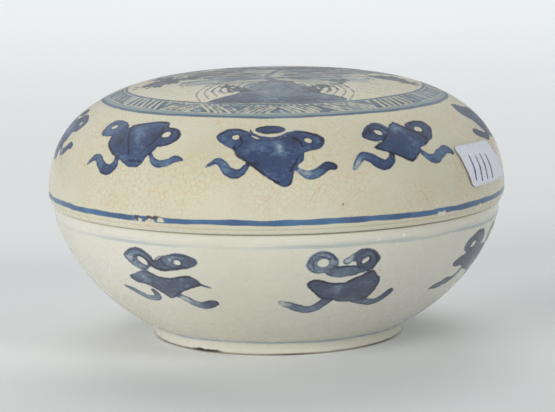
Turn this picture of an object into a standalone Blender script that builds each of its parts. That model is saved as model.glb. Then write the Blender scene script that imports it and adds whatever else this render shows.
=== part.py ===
"""A round porcelain box with a domed lift-off lid, and the small paper lot label stuck on the lid.

The box is turned: a deep bowl on a low foot ring, with a seat and an upright locating flange inside its rim.
The lid is a domed shell whose flat lower edge rests on the seat, around the flange. Each is one closed
profile spun about the vertical axis. The label is a thin rounded rectangle laid onto the dome.

Units are metres. The origin is the centre of the foot ring, on the surface that the box stands on, and +Z is up.
"""

import math

import bmesh
import bpy
from mathutils import Vector

# ---------------------------------------------------------------- driving dimensions
MM = 0.001
FACETS = 64  # sides of the spun solids
DOME_STEPS = 14  # stretches of the outlines, from pole to widest circle
BOWL_STEPS = 10
INSIDE_STEPS = 10
CLEARANCE = 0.3 * MM  # between two pieces that rest on each other

LID_RADIUS = 82.0 * MM  # the widest circle, on the lid
OVERALL_HEIGHT = 93.8 * MM
SEAM_HEIGHT = 48.4 * MM  # where the lid meets the box

# The lid outside: a superellipse above its widest circle, and a short tuck below it.
LID_WAIST_HEIGHT = 53.9 * MM
LID_OUTER_POWERS = (3.24, 2.16)  # of the radius and of the height
LID_LIP_RADIUS = 80.7 * MM
LID_GROOVE_HEIGHT = 50.4 * MM
LID_GROOVE_DEPTH = 0.35 * MM
LID_LIP_ROUNDING = 0.7 * MM
LID_TOP_WALL = 4.4 * MM
LID_INNER_RADIUS = 76.6 * MM

# The bowl outside and inside: superellipses below their shoulder height.
BOWL_RADIUS = 80.0 * MM
BOWL_SHOULDER_HEIGHT = 46.0 * MM
BOWL_OUTER_DEPTH = 50.0 * MM  # the outline would close this far below the shoulder
BOWL_OUTER_POWERS = (2.62, 1.45)
BOWL_INNER_RADIUS = 73.0 * MM
BOWL_FLOOR_HEIGHT = 11.5 * MM
BOWL_INNER_POWERS = (5.2, 1.6)

# The flange that stands inside the lid, and the seat around it.
FLANGE_OUTER_RADIUS = 75.7 * MM
FLANGE_INNER_RADIUS = 72.6 * MM
FLANGE_HEIGHT = 5.6 * MM
SEAT_FILLET = 0.4 * MM
RIM_ROUNDING = 0.8 * MM
RIM_INSET = 0.4 * MM  # of the rim from the bowl's widest circle

# The foot ring.
FOOT_OUTER_RADIUS = 45.0 * MM
FOOT_LAND = 3.4 * MM  # width of the flat that touches the table
FOOT_BEVEL = 0.5 * MM
FOOT_JUNCTION_HEIGHT = 5.0 * MM
FOOT_JUNCTION_RADIUS = 47.2 * MM
FOOT_FLARE = 1.2 * MM  # of the curve where the bowl runs into the ring
FOOT_RECESS_RADIUS = 40.0 * MM
FOOT_RECESS_HEIGHT = 6.1 * MM

# The paper label, laid on the lid.
LABEL_WIDTH = 26.0 * MM
LABEL_HEIGHT = 16.0 * MM
LABEL_CORNER = 2.0 * MM
LABEL_THICKNESS = 0.3 * MM
LABEL_TURN = math.radians(-27.0)  # round the box from +X
LABEL_CENTRE_HEIGHT = 65.4 * MM
LABEL_TILT = math.radians(-1.0)  # about its own centre, as seen from outside

IVORY_GLAZE = (0.78, 0.74, 0.62, 1.0)
GREYISH_GLAZE = (0.74, 0.74, 0.66, 1.0)
PAPER_WHITE = (0.86, 0.86, 0.90, 1.0)


# ---------------------------------------------------------------- outlines
def superellipse_radius(share, powers):
    """Radius, as a share of the widest, at this share of the way from the widest circle to the pole."""
    radius_power, height_power = powers
    return max(0.0, 1.0 - share**height_power) ** (1.0 / radius_power)


def pole_to_widest(radius, widest_height, pole_height, powers, count):
    """Points (r, z) of a superellipse quarter, from its pole on the axis to its widest circle."""
    points = []
    for step in range(count + 1):
        angle = 0.5 * math.pi * step / count
        share = math.cos(angle) ** (2.0 / powers[1])
        points.append((radius * superellipse_radius(share, powers),
                       widest_height + (pole_height - widest_height) * share))
    return points


def arc(centre, radius, start, end, count):
    """Points (r, z) on a circular arc, with its angles in degrees."""
    return [(centre[0] + radius * math.cos(math.radians(start + (end - start) * step / count)),
             centre[1] + radius * math.sin(math.radians(start + (end - start) * step / count)))
            for step in range(count + 1)]


def lid_outside():
    """From the top of the dome down to the groove above the lip."""
    dome = pole_to_widest(LID_RADIUS, LID_WAIST_HEIGHT, OVERALL_HEIGHT, LID_OUTER_POWERS, DOME_STEPS)
    tuck = []
    for share in (0.5, 0.8):
        height = LID_WAIST_HEIGHT + (LID_GROOVE_HEIGHT - LID_WAIST_HEIGHT) * share
        tuck.append((LID_RADIUS + (LID_LIP_RADIUS - LID_RADIUS) * share**2, height))
    return dome + tuck


def lid_profile():
    """The closed half section of the lid, from the top outside, round its lower edge, to the top inside."""
    outside = lid_outside()
    groove = [(LID_LIP_RADIUS - LID_GROOVE_DEPTH, LID_GROOVE_HEIGHT)]
    edge_height = SEAM_HEIGHT + CLEARANCE + LID_LIP_ROUNDING
    lip = arc((LID_LIP_RADIUS - LID_LIP_ROUNDING, edge_height), LID_LIP_ROUNDING, 0, -90, 3)
    inner_edge = arc((LID_INNER_RADIUS + LID_LIP_ROUNDING, edge_height), LID_LIP_ROUNDING, -90, -180, 3)
    inside = pole_to_widest(LID_INNER_RADIUS, LID_WAIST_HEIGHT, OVERALL_HEIGHT - LID_TOP_WALL,
                            LID_OUTER_POWERS, INSIDE_STEPS)
    return outside + groove + lip + inner_edge + inside[::-1]


def bowl_outside():
    """From just under the rim down to the foot ring."""
    points = [(BOWL_RADIUS, BOWL_SHOULDER_HEIGHT)]
    for step in range(1, BOWL_STEPS + 1):
        height = BOWL_SHOULDER_HEIGHT + (FOOT_JUNCTION_HEIGHT - BOWL_SHOULDER_HEIGHT) * step / BOWL_STEPS
        share = (BOWL_SHOULDER_HEIGHT - height) / BOWL_OUTER_DEPTH
        points.append((BOWL_RADIUS * superellipse_radius(share, BOWL_OUTER_POWERS), height))
    return points


def body_profile():
    """The closed half section of the box: flange, seat, outside, foot ring, recess, floor and inside."""
    flange_top = SEAM_HEIGHT + FLANGE_HEIGHT
    flange_middle = (FLANGE_OUTER_RADIUS + FLANGE_INNER_RADIUS) / 2
    half_flange = (FLANGE_OUTER_RADIUS - FLANGE_INNER_RADIUS) / 2
    # The inside starts at the floor's centre and ends at the shoulder.
    inside = pole_to_widest(BOWL_INNER_RADIUS, BOWL_SHOULDER_HEIGHT, BOWL_FLOOR_HEIGHT,
                            BOWL_INNER_POWERS, INSIDE_STEPS)
    crown = arc((flange_middle, flange_top - half_flange), half_flange, 180, 0, 6)
    seat = [(FLANGE_OUTER_RADIUS, SEAM_HEIGHT + SEAT_FILLET), (FLANGE_OUTER_RADIUS + SEAT_FILLET, SEAM_HEIGHT)]
    rim_centre = (BOWL_RADIUS - RIM_INSET - RIM_ROUNDING, SEAM_HEIGHT - RIM_ROUNDING)
    rim = arc(rim_centre, RIM_ROUNDING, 90, 10, 3)
    land_outer = FOOT_OUTER_RADIUS - FOOT_BEVEL
    land_inner = land_outer - FOOT_LAND
    foot = [(FOOT_JUNCTION_RADIUS - FOOT_FLARE, FOOT_JUNCTION_HEIGHT - FOOT_FLARE),
            (FOOT_OUTER_RADIUS, FOOT_BEVEL),
            (land_outer, 0.0),
            (land_inner, 0.0),
            (land_inner - FOOT_BEVEL, FOOT_BEVEL),
            (FOOT_RECESS_RADIUS, FOOT_RECESS_HEIGHT - FOOT_FLARE),
            (FOOT_RECESS_RADIUS - FOOT_FLARE, FOOT_RECESS_HEIGHT),
            (0.0, FOOT_RECESS_HEIGHT)]
    return inside + crown + seat + rim + bowl_outside() + foot


# ---------------------------------------------------------------- building
def make_collection(name):
    collection = bpy.data.collections.new(name)
    bpy.context.scene.collection.children.link(collection)
    return collection


def make_material(name, colour, roughness):
    material = bpy.data.materials.new(name)
    material.use_nodes = True
    shader = material.node_tree.nodes["Principled BSDF"]
    shader.inputs["Base Color"].default_value = colour
    shader.inputs["Roughness"].default_value = roughness
    shader.inputs["Metallic"].default_value = 0.0
    return material


def spin(name, profile, material, collection):
    """A solid of revolution: the profile as one line of edges, turned about Z by a Screw modifier."""
    mesh = bpy.data.meshes.new(name)
    build = bmesh.new()
    vertices = [build.verts.new((radius, 0.0, height)) for radius, height in profile]
    for first, second in zip(vertices, vertices[1:]):
        build.edges.new((first, second))
    build.to_mesh(mesh)
    build.free()
    mesh.materials.append(material)
    solid = bpy.data.objects.new(name, mesh)
    collection.objects.link(solid)
    screw = solid.modifiers.new("spin", "SCREW")
    screw.axis = "Z"
    screw.steps = FACETS
    screw.render_steps = FACETS
    screw.use_merge_vertices = True
    screw.merge_threshold = 0.00001
    screw.use_smooth_shade = True
    return solid


def lid_radius_at(height):
    share = (height - LID_WAIST_HEIGHT) / (OVERALL_HEIGHT - LID_WAIST_HEIGHT)
    return LID_RADIUS * superellipse_radius(share, LID_OUTER_POWERS)


def lid_slope_at(height):
    """The unit tangent (dr, dz) going up the lid's outline at this height, by a small difference."""
    step = 0.01 * MM
    run = Vector((lid_radius_at(height + step) - lid_radius_at(height - step), 2 * step))
    return run.normalized()


def up_the_dome(start_height, distance):
    """The height reached by walking this far up (or down) the lid's outline."""
    strides = 24
    height = start_height
    for _ in range(strides):
        height += lid_slope_at(height)[1] * distance / strides
    return height


def onto_lid(across, along):
    """The point on the lid that lies this far across and up from the label's centre, and its outward normal."""
    right = across * math.cos(LABEL_TILT) - along * math.sin(LABEL_TILT)
    up = across * math.sin(LABEL_TILT) + along * math.cos(LABEL_TILT)
    height = up_the_dome(LABEL_CENTRE_HEIGHT, up)
    turn = LABEL_TURN + right / lid_radius_at(LABEL_CENTRE_HEIGHT)
    radius = lid_radius_at(height)
    slope = lid_slope_at(height)
    point = Vector((radius * math.cos(turn), radius * math.sin(turn), height))
    normal = Vector((slope[1] * math.cos(turn), slope[1] * math.sin(turn), -slope[0]))
    return point, normal


def make_label(material, collection):
    """A grid with rounded corners, wrapped onto the dome and thickened outward."""
    build = bmesh.new()
    bmesh.ops.create_grid(build, x_segments=6, y_segments=4, size=0.5)
    for vertex in build.verts:
        vertex.co.x *= LABEL_WIDTH
        vertex.co.y *= LABEL_HEIGHT
    corners = [vertex for vertex in build.verts if len(vertex.link_edges) == 2]
    bmesh.ops.bevel(build, geom=corners, offset=LABEL_CORNER, segments=4, profile=0.5, affect="VERTICES")
    for vertex in build.verts:
        point, normal = onto_lid(vertex.co.x, vertex.co.y)
        vertex.co = point + normal * CLEARANCE
    bmesh.ops.triangulate(build, faces=build.faces[:])
    mesh = bpy.data.meshes.new("paper_label")
    build.to_mesh(mesh)
    build.free()
    mesh.materials.append(material)
    label = bpy.data.objects.new("paper_label", mesh)
    collection.objects.link(label)
    solidify = label.modifiers.new("thickness", "SOLIDIFY")
    solidify.thickness = LABEL_THICKNESS
    solidify.offset = 1.0
    return label


def main():
    for thing in list(bpy.data.objects):
        bpy.data.objects.remove(thing)
    box = make_collection("porcelain_box")
    spin("box_body", body_profile(), make_material("body_glaze", GREYISH_GLAZE, 0.25), box)
    spin("lid", lid_profile(), make_material("lid_glaze", IVORY_GLAZE, 0.25), box)
    make_label(make_material("label_paper", PAPER_WHITE, 0.7), box)


main()
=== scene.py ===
import math

import bpy
import numpy as np
from mathutils import Matrix, Vector


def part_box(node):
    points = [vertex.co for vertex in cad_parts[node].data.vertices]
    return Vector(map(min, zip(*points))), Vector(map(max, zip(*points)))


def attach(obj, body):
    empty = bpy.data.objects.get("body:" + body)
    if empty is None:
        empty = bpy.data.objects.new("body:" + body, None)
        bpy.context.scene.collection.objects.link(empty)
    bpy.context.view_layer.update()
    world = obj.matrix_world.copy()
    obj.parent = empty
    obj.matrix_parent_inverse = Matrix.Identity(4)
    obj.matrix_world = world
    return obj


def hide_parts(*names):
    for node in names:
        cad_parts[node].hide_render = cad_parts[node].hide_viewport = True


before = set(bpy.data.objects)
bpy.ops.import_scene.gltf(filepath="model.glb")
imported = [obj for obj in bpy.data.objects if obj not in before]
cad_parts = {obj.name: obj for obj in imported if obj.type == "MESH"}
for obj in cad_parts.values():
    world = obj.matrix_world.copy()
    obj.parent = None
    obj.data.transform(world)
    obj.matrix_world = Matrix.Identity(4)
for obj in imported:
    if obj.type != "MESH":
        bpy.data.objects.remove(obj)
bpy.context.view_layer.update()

# The looks of a round porcelain box with underglaze blue painting. Its outlines are in millimetres, as radius
# and height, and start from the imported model's own sizes. Each piece is a fine turned mesh. The painting is
# made of brush strokes: every vertex holds its signed distance to them, and the materials turn that into
# pigment.

MM = 0.001
FAR = 3.0  # distances to the painting are cut off here, in mm
LID_LOW, LID_HIGH = (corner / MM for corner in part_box("lid"))
BODY_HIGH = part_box("box_body")[1] / MM
GAP = 0.3  # between the lid and its seat
SEAM = LID_LOW.z - GAP
TOP = LID_HIGH.z
BAND_RADIUS = LID_HIGH.x
BOWL_RADIUS = BODY_HIGH.x
FLANGE_TOP = BODY_HIGH.z
OUTSIDE, INSIDE, BARE = 0, 1, 2  # the zones of a piece, and the slots of their materials


# ---------------------------------------------------------------- outlines (radius, height), in millimetres
def superellipse(radius, widest, pole, powers, count=160):
    """A quarter outline from the pole to the widest circle. The powers are of the radius and the height."""
    angle = np.linspace(0, math.pi / 2, count)
    share = np.cos(angle) ** (2 / powers[1])
    across = radius * (1 - share ** powers[1]) ** (1 / powers[0])
    return np.column_stack([across, widest + (pole - widest) * share])


def arc(centre, radius, start, end, count=7):
    angle = np.radians(np.linspace(start, end, count))
    return np.column_stack([centre[0] + radius * np.cos(angle), centre[1] + radius * np.sin(angle)])


def smooth(points, closed=False, per_span=6):
    """A Catmull-Rom curve through the points, which may have any number of columns."""
    points = np.asarray(points, float)
    if closed:
        padded = np.vstack([points[-1], points, points[:2]])
    else:
        padded = np.vstack([2 * points[0] - points[1], points, 2 * points[-1] - points[-2]])
    share = np.linspace(0, 1, per_span, endpoint=False)[:, None]
    spans = []
    for before, start, end, after in zip(padded, padded[1:], padded[2:], padded[3:]):
        spans.append(0.5 * (2 * start + (end - before) * share
                            + (2 * before - 5 * start + 4 * end - after) * share ** 2
                            + (3 * start - before - 3 * end + after) * share ** 3))
    if not closed:
        spans.append(points[-1:])
    return np.vstack(spans)


def lengths(points):
    return np.concatenate([[0], np.cumsum(np.hypot(*np.diff(points, axis=0).T))])


def evenly(points, spacing):
    """The same line with points about this far apart."""
    along = lengths(points)
    wanted = np.linspace(0, along[-1], max(2, round(along[-1] / spacing) + 1))
    return np.column_stack([np.interp(wanted, along, points[:, k]) for k in (0, 1)])


LID_WAIST = 53.9
LID_SWELL = 0.2  # how far the dome swells at its widest circle
LID_INNER = 76.6
LID_WALL = 4.4
LIP_INSET = 1.0
LIP_ROUNDING = 0.7
LIP_LENGTH = 1.1  # from the seam up to the end of the lid's outline
LIP_GROOVE = 50.2  # the height of the fine groove round the lip
LIP_HEIGHT = SEAM + GAP + LIP_ROUNDING
BAND_HEIGHT = 52.8  # of the blue band
DOME_POWERS = (3.24, 2.16)
DOME = superellipse(BAND_RADIUS - LID_SWELL, LID_WAIST, TOP, DOME_POWERS, 600)
DOME[:, 0] += LID_SWELL * np.exp(-((DOME[:, 1] - LID_WAIST) / 2.5) ** 2)
LID_TUCK = smooth([(BAND_RADIUS, LID_WAIST), (BAND_RADIUS - 0.1, 52.0), (BAND_RADIUS - 0.4, 50.4),
                   (BAND_RADIUS - LIP_INSET, LIP_HEIGHT)])
LID_LIP_ROUND = arc((BAND_RADIUS - LIP_INSET - LIP_ROUNDING, LIP_HEIGHT), LIP_ROUNDING, 0, -90)
LID_OUTLINE = np.vstack([DOME, LID_TUCK[1:]])  # from the top of the dome down to the lip

BOWL_SHOULDER = 46.0
BOWL_DEPTH = 50.0  # the outline would close this far below the shoulder
BOWL_POWERS = (2.62, 1.45)
BOWL_INNER = 73.0
BOWL_FLOOR = 11.5
FOOT_JOIN = 5.0
FLANGE_ROUNDING = 1.55
BOWL_HEIGHTS = np.linspace(BOWL_SHOULDER, FOOT_JOIN, 300)
BOWL_DROP = ((BOWL_SHOULDER - BOWL_HEIGHTS) / BOWL_DEPTH) ** BOWL_POWERS[1]
BOWL_SIDE = np.column_stack([BOWL_RADIUS * (1 - BOWL_DROP) ** (1 / BOWL_POWERS[0]), BOWL_HEIGHTS])
BOWL_OUTLINE = np.vstack([[(BOWL_RADIUS, SEAM - 0.6)], BOWL_SIDE])  # from the rim down to the foot


# ---------------------------------------------------------------- turned meshes
def rings_of(sections):
    """Rings [radius, height, columns, zone] from sections (outline, spacing, columns, narrowest side, zone).

    A ring has half the columns, or a quarter and so on, where its sides would be narrower than that.
    """
    rings = []
    for outline, spacing, most, narrowest, zone in sections:
        points = evenly(np.asarray(outline, float), spacing)
        for radius, height in points[1:] if rings else points:
            columns = most
            while columns > 6 and 2 * math.pi * radius / columns < narrowest:
                columns //= 2
            rings.append([radius, height, columns, zone])
    for these, those in list(zip(rings, rings[1:])) + list(zip(rings[::-1], rings[-2::-1])):
        those[2] = max(those[2], these[2] // 2)
    for ring in rings:
        if ring[0] < 1e-6:
            ring[2] = 1
    return rings


def join(upper, above, lower, below):
    """The faces between two rings of vertices, from each one's first vertex and count."""
    def high(k):
        return upper + k % above

    def low(k):
        return lower + k % below

    few = range(min(above, below))
    if above == 1:
        return [(high(0), low(j), low(j + 1)) for j in range(below)]
    if below == 1:
        return [(high(j), low(0), high(j + 1)) for j in range(above)]
    if above == below:
        return [(high(j), low(j), low(j + 1), high(j + 1)) for j in few]
    if above > below:
        threes = [((high(2 * j), low(j), high(2 * j + 1)), (high(2 * j + 1), low(j), low(j + 1)),
                   (high(2 * j + 1), low(j + 1), high(2 * j + 2))) for j in few]
    else:
        threes = [((high(j), low(2 * j), low(2 * j + 1)), (high(j), low(2 * j + 1), high(j + 1)),
                   (high(j + 1), low(2 * j + 1), low(2 * j + 2))) for j in few]
    return [face for three in threes for face in three]


def add_piece(name, points, faces, materials):
    """A piece from points in mm."""
    mesh = bpy.data.meshes.new(name)
    mesh.from_pydata(points * MM, [], faces)
    for material in materials:
        mesh.materials.append(material)
    mesh.shade_smooth()
    piece = bpy.data.objects.new(name, mesh)
    bpy.context.scene.collection.objects.link(piece)
    return piece


def lathe(name, rings, materials, shape):
    """A closed turned mesh, and its vertices' turn, radius, height (mm) and zone. shape moves the radius."""
    counts = [ring[2] for ring in rings]
    starts = np.concatenate([[0], np.cumsum(counts)])
    turn = np.concatenate([2 * math.pi * np.arange(n) / n for n in counts])
    radius, height, zone = (np.repeat([ring[k] for ring in rings], counts) for k in (0, 1, 3))
    faces, slots = [], []
    for k, ring in enumerate(rings[1:]):
        faces += join(starts[k], counts[k], starts[k + 1], counts[k + 1])
        slots += [ring[3]] * (len(faces) - len(slots))
    radius = shape(turn, radius, height, zone)
    points = np.column_stack([radius * np.cos(turn), radius * np.sin(turn), height])
    piece = add_piece(name, points, faces, materials)
    piece.data.polygons.foreach_set("material_index", np.array(slots, np.int32))
    piece.data.update()
    return piece, turn, radius, height, zone


def give(piece, name, values):
    """Stores one number for each vertex."""
    attribute = piece.data.attributes.new(name, "FLOAT", "POINT")
    attribute.data.foreach_set("value", np.asarray(values, np.float32))


# ---------------------------------------------------------------- brushwork
def to_segments(x, y, start, step):
    """How far along each segment the nearest point to (x, y) lies, and the distance to it."""
    dx, dy = x[:, None] - start[:, 0], y[:, None] - start[:, 1]
    squared = step[:, 0] ** 2 + step[:, 1] ** 2 + 1e-12
    share = np.clip((dx * step[:, 0] + dy * step[:, 1]) / squared, 0, 1)
    return share, np.hypot(dx - share * step[:, 0], dy - share * step[:, 1])


def path_distance(x, y, path):
    """Signed distance to a tapered stroke, and where along its path the nearest point is, as an index.

    Each point of the path is (x, y, half width, ...).
    """
    start, step = path[:-1], np.diff(path, axis=0)
    share, distance = to_segments(x, y, start, step)
    distance -= start[:, 2] + share * step[:, 2]
    nearest = distance.argmin(1)
    rows = np.arange(len(x))
    return distance[rows, nearest], nearest + share[rows, nearest]


def outline_distance(x, y, outline):
    """Signed distance to a closed outline, negative inside."""
    end = np.roll(outline, -1, axis=0)
    step = end - outline
    distance = to_segments(x, y, outline, step)[1].min(1)
    dx, dy = x[:, None] - outline[:, 0], y[:, None] - outline[:, 1]
    spans = (outline[:, 1] <= y[:, None]) != (end[:, 1] <= y[:, None])
    rise = np.where(np.abs(step[:, 1]) < 1e-9, 1e-9, step[:, 1])
    crossings = spans & (dx < dy * step[:, 0] / rise)
    return np.where(crossings.sum(1) % 2 == 1, -distance, distance)


def turned(x, y, degrees):
    """A point's place on axes turned by this angle."""
    c, s = math.cos(math.radians(degrees)), math.sin(math.radians(degrees))
    return x * c + y * s, y * c - x * s


def oval(x, y, rx, ry, tilt=0, count=10):
    angle = np.linspace(0, 2 * math.pi, count, endpoint=False)
    across, up = turned(rx * np.cos(angle), ry * np.sin(angle), -tilt)
    return list(zip(x + across, y + up))


class Painting:
    """What the brush leaves: paint and fine lines as signed distances in mm, and the pigment's tone.

    x and y are where the vertices lie under the brush, in mm, and brush widens its strokes.
    """

    def __init__(self, count):
        self.paint = np.full(count, FAR)
        self.line = np.full(count, FAR)
        self.tone = np.zeros(count)
        self.x = self.y = None
        self.brush = 1.0

    def near(self, points):
        """Which vertices lie near some points, and their places."""
        low, high = points[:, :2].min(0) - FAR - 1, points[:, :2].max(0) + FAR + 1
        here = np.flatnonzero((self.x > low[0]) & (self.x < high[0]) & (self.y > low[1]) & (self.y < high[1]))
        return here, self.x[here], self.y[here]

    def inside(self, outline):
        outline = smooth(outline, closed=True)
        here, x, y = self.near(outline)
        return here, outline_distance(x, y, outline)

    def beside(self, path, half_width):
        path = smooth(path)
        path = np.column_stack([path[:, :2], np.full(len(path), half_width)])
        here, x, y = self.near(path)
        return here, path_distance(x, y, path)[0]

    def lay(self, here, distance, tone):
        """Paint adds up: where strokes lie over each other, the darker one shows."""
        share = np.clip((1.0 - distance) / 0.6, 0, 1)
        self.paint[here] = np.minimum(self.paint[here], distance)
        self.tone[here] = np.maximum(self.tone[here], tone * share)

    def shade(self, change, spot):
        """Darkens or thins the paint round a spot (across, up, two half sizes, tilt)."""
        middle_x, middle_y, wide, high, tilt = spot
        across, up = turned(self.x - middle_x, self.y - middle_y, tilt)
        self.tone += change * np.exp(-(across / wide) ** 2 - (up / high) ** 2)

    def fill(self, tone, outline):
        self.lay(*self.inside(outline), tone)

    def stroke(self, path):
        """Each point is (x, y, half width, tone)."""
        path = smooth(np.array(path, float) * (1, 1, self.brush, 1))
        here, x, y = self.near(path)
        distance, along = path_distance(x, y, path)
        self.lay(here, distance, np.interp(along, np.arange(len(path)), path[:, 3]))

    def bare(self, outline):
        """Leaves the glaze unpainted inside the outline."""
        here, distance = self.inside(outline)
        self.paint[here] = np.maximum(self.paint[here], -distance)
        self.line[here] = np.maximum(self.line[here], -distance)

    def spare(self, path, half_width):
        """Leaves a stroke of bare glaze."""
        here, distance = self.beside(path, half_width)
        self.paint[here] = np.maximum(self.paint[here], -distance)

    def draw(self, path, half_width=0.4):
        here, distance = self.beside(path, half_width)
        self.line[here] = np.minimum(self.line[here], distance)

    def store(self, piece):
        give(piece, "paint", np.clip(self.paint, -FAR, FAR))
        give(piece, "line", np.clip(self.line, -FAR, FAR))
        give(piece, "tone", self.tone)


# Emblems tied with ribbons, in mm across and up from their middle. Each is a list of brush moves, in order:
# ("fill", tone, outline), ("stroke", points), ("bare", outline), ("draw", path) or ("shade", change, spot).
JAR = [
    ("stroke", [(-7, -2.6, .8, .3), (-8.9, -5, 1.3, .42), (-11.2, -5.7, 1.6, .5), (-13.6, -4.4, 1.6, .5),
        (-15.6, -1.9, 1.3, .45), (-17.6, -1.3, 1, .35), (-20.8, -3.4, .4, .1)]),
    ("stroke", [(8.9, -4, .6, .1), (11.6, -5.9, 1.3, .25), (14.1, -6.2, 1.6, .45), (16.8, -4.9, 1.5, .6),
        (19.1, -3.5, 1.5, .8), (21.4, -3.8, 1.1, .8)]),
    ("fill", .62, [(-19.3, 9.2), (-16.4, 11.8), (-12.8, 12.7), (-8.9, 11.7), (-6.4, 9.2), (-9, 3),
        (-13.2, 3.6), (-16.6, 5.6), (-18.8, 7.2)]),
    ("fill", .66, [(6.2, 9.4), (9.9, 11.4), (14.6, 10.6), (18.7, 8.6), (19.8, 6.2), (17.6, 3.1),
        (14.1, 2.4), (10.5, 2.4)]),
    ("fill", .66, [(-12.2, 4.6), (-10.6, 1), (-7.4, -1.5), (-4.1, -4.2), (-.1, -7.4), (2.8, -9.2),
        (5, -10.2), (7.3, -9), (7.9, -6), (9.1, -3.2), (11.3, -1.2), (12, 1.6), (12.3, 4.2), (9.6, 7.6),
        (6.2, 8.9), (1.9, 7.6), (-4.6, 7.9), (-7.6, 9.6), (-10.6, 8.2)]),
    ("fill", .85, oval(.4, 12, 5.7, 2.1)),
    ("stroke", [(-7, 11.8, .35, .3), (-6.2, 10, .5, .5), (-3, 8.5, .5, .6), (.6, 8, .5, .6),
        (4, 8.5, .5, .6), (6.8, 10.2, .5, .7)]),
    ("bare", oval(-12, 8.4, 1.35, .95)),
    ("bare", oval(13.9, 6.6, 1.4, 1, -15)),
    ("shade", -.5, (3.6, 3.6, 1.5, 3.4, 10)),
    ("shade", .45, (8.8, 7.4, 2.6, 2.2, 0)),
    ("shade", .3, (-9.6, 5.6, 2.2, 3.2, -20)),
    ("shade", .25, (-3.6, -1.6, 4, 2.6, -35)),
    ("shade", -.2, (-16.4, 8.2, 1.6, 1.2, 20)),
    ("shade", -.25, (17.2, 6.4, 1.2, 1.6, 0)),
    ("draw", [(-12.2, 4.6), (-10.8, 1.1), (-7.4, -1.2), (-4.1, -3.8), (-.1, -7), (3, -8.8)]),
    ("draw", [(-18.4, 9), (-15.6, 11.2), (-12.4, 12), (-9.2, 11)]),
    ("draw", [(-10.6, 8.8), (-9.6, 6.4), (-10.4, 4.2)]),
    ("draw", [(8.6, 8.2), (10.8, 6.4), (11.6, 4)]),
    ("draw", [(9.8, 10.6), (13.4, 10.2), (17.4, 8.4), (18.8, 6.2), (16.8, 3.8)]),
    ("draw", [(10.2, .8), (8.6, -2), (6.8, -5)]),
]
PEAR = [
    ("stroke", [(-4, -7.2, .8, .2), (-3.8, -9.6, 1.3, .45), (-5.4, -11.4, 1.7, .62), (-8, -11.6, 1.8, .62),
        (-10.6, -10, 1.6, .5), (-12.6, -8.3, 1.4, .45), (-15, -8.4, 1.1, .4), (-17.6, -11.1, .3, .2)]),
    ("stroke", [(9.6, -4.8, .5, .3), (11.6, -7, 1.1, .4), (14.2, -8, 1.3, .45), (17, -7.2, 1.3, .4),
        (19.4, -5.8, 1.2, .5), (22.4, -6, .3, .4)]),
    ("fill", .64, [(-12.3, 8), (-16.4, 8), (-19.1, 6), (-19.7, 3), (-19.4, 1.2), (-16.8, .2), (-12.6, .6),
        (-7, 3), (-6.6, 5.2), (-9.4, 7.2)]),
    ("fill", .55, [(9.6, 6), (13.3, 7.2), (16.8, 6), (18.4, 3.5), (17.2, .8), (14.1, -1), (10.8, -1.2)]),
    ("fill", .68, [(-12.2, .8), (-11.6, -2.2), (-8.9, -4.8), (-6.1, -6.4), (-2.4, -7.7), (-.6, -8.7),
        (2.1, -9.8), (5.5, -9.8), (7.3, -8.6), (8, -6.3), (9.3, -4.8), (10.2, -3.5), (11.4, -1.1), (12, .6),
        (10.6, 3.2), (11, 5.6), (11.3, 8.2), (9.6, 9.9), (4.8, 9.6), (-1.4, 8.2), (-5.4, 6.8), (-6.2, 5.4),
        (-8.4, 4.8), (-11, 3.4)]),
    ("bare", oval(-14.6, 4.5, 1.5, .75, 25)),
    ("bare", oval(12.4, 3.6, 1.7, 1.15, 20)),
    ("shade", .3, (-6.6, -.6, 3, 4, 30)),
    ("shade", -.35, (.2, 2.6, 1.5, 4.2, 35)),
    ("shade", .2, (7.4, 1.6, 3, 3.4, 0)),
    ("shade", -.3, (8.6, 8.6, 2, 1.2, 0)),
    ("shade", -.3, (-1.2, -7.6, 2.4, 1.4, -20)),
    ("draw", [(-5.4, 6.4), (-4.6, 3), (-2.8, .2), (-1, -2.4), (.6, -5.4)]),
    ("draw", [(-12, .6), (-11.3, -2.2), (-8.6, -4.6), (-6, -6.2)]),
    ("draw", [(9.2, 7.6), (9.4, 3.8), (8.8, .4), (6.6, -2)]),
    ("draw", [(-4.2, 6.8), (0, 7.8), (5, 8.8), (9, 9.2)]),
    ("draw", [(.5, -8), (3.8, -7.4), (6.4, -7.6)]),
    ("draw", [(13, 6.4), (16.2, 5.4), (17.5, 3.4), (16.2, 1.2)]),
]
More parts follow.
